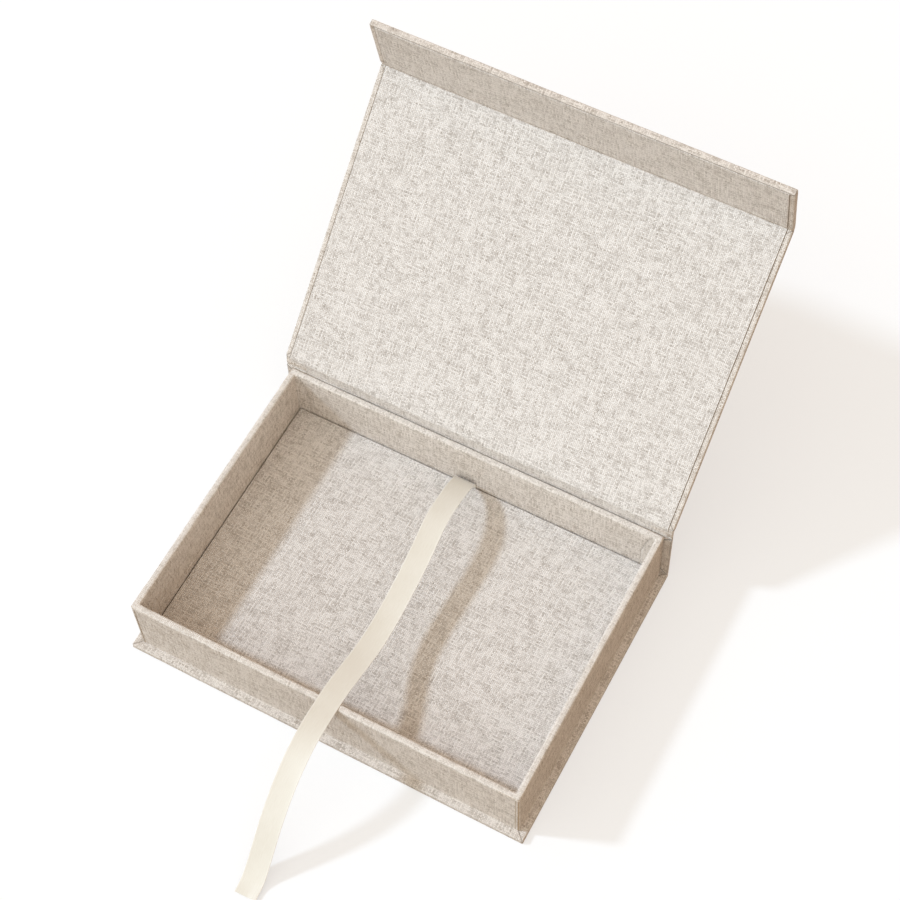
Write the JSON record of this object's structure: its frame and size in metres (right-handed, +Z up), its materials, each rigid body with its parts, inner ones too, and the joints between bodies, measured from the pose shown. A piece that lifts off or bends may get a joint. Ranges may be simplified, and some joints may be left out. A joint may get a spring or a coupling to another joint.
{
  "type": "book style gift box with magnetic flap",
  "caption": "Rectangular presentation box wrapped in linen cloth: a shallow tray in a hinged case whose lid folds down in a magnetic front flap, with a lifting ribbon.",
  "frame": {"origin": "underside of the base, in the middle of the tray's footprint", "axes": "+Z up, +Y to the spine and the lid's hinge, -Y to the front, where the flap closes, +X to the right seen from the front"},
  "size_m": [0.228, 0.3716, 0.2052],
  "materials": {
    "outer_linen": "matte",
    "lining_linen": "matte",
    "greyboard": "matte",
    "paper_tape": "matte",
    "pad_foam": "matte",
    "satin_ribbon": "satin",
    "magnet": "satin"
  },
  "bodies": {
    "root": {"base_board": "greyboard", "base_cover": "outer_linen", "spine_board": "greyboard", "spine_cover": "outer_linen", "spine_liner": "lining_linen", "tray_bottom_board": "greyboard", "tray_front_board": "greyboard", "tray_rear_board": "greyboard", "tray_left_board": "greyboard", "tray_right_board": "greyboard", "tray_magnets": "magnet", "corner_stays": "paper_tape", "tray_wrap": "outer_linen", "floor_pad": "pad_foam", "floor_liner_card": "greyboard", "floor_liner_cloth": "lining_linen", "hinge_lining": "lining_linen", "ribbon": "satin_ribbon"},
    "lid": {"lid_board": "greyboard", "lid_cover": "outer_linen", "lid_liner": "lining_linen", "fold_lining": "lining_linen"},
    "flap": {"flap_board": "greyboard", "flap_magnets": "magnet", "flap_cover": "outer_linen", "flap_liner": "lining_linen"}
  },
  "joints": [
    {"name": "lid_hinge", "type": "hinge", "parent": "root", "child": "lid", "pos_m": [0, 0.0821, 0.0486], "axis": [-1, 0, 0], "range_deg": [-135.5, 54.5], "deforming": ["hinge_lining", "ribbon"]},
    {"name": "flap_hinge", "type": "hinge", "parent": "lid", "child": "flap", "pos_m": [0, 0.20071, 0.16516], "axis": [-1, 0, 0], "range_deg": [-33, 67], "deforming": ["fold_lining"]}
  ]
}
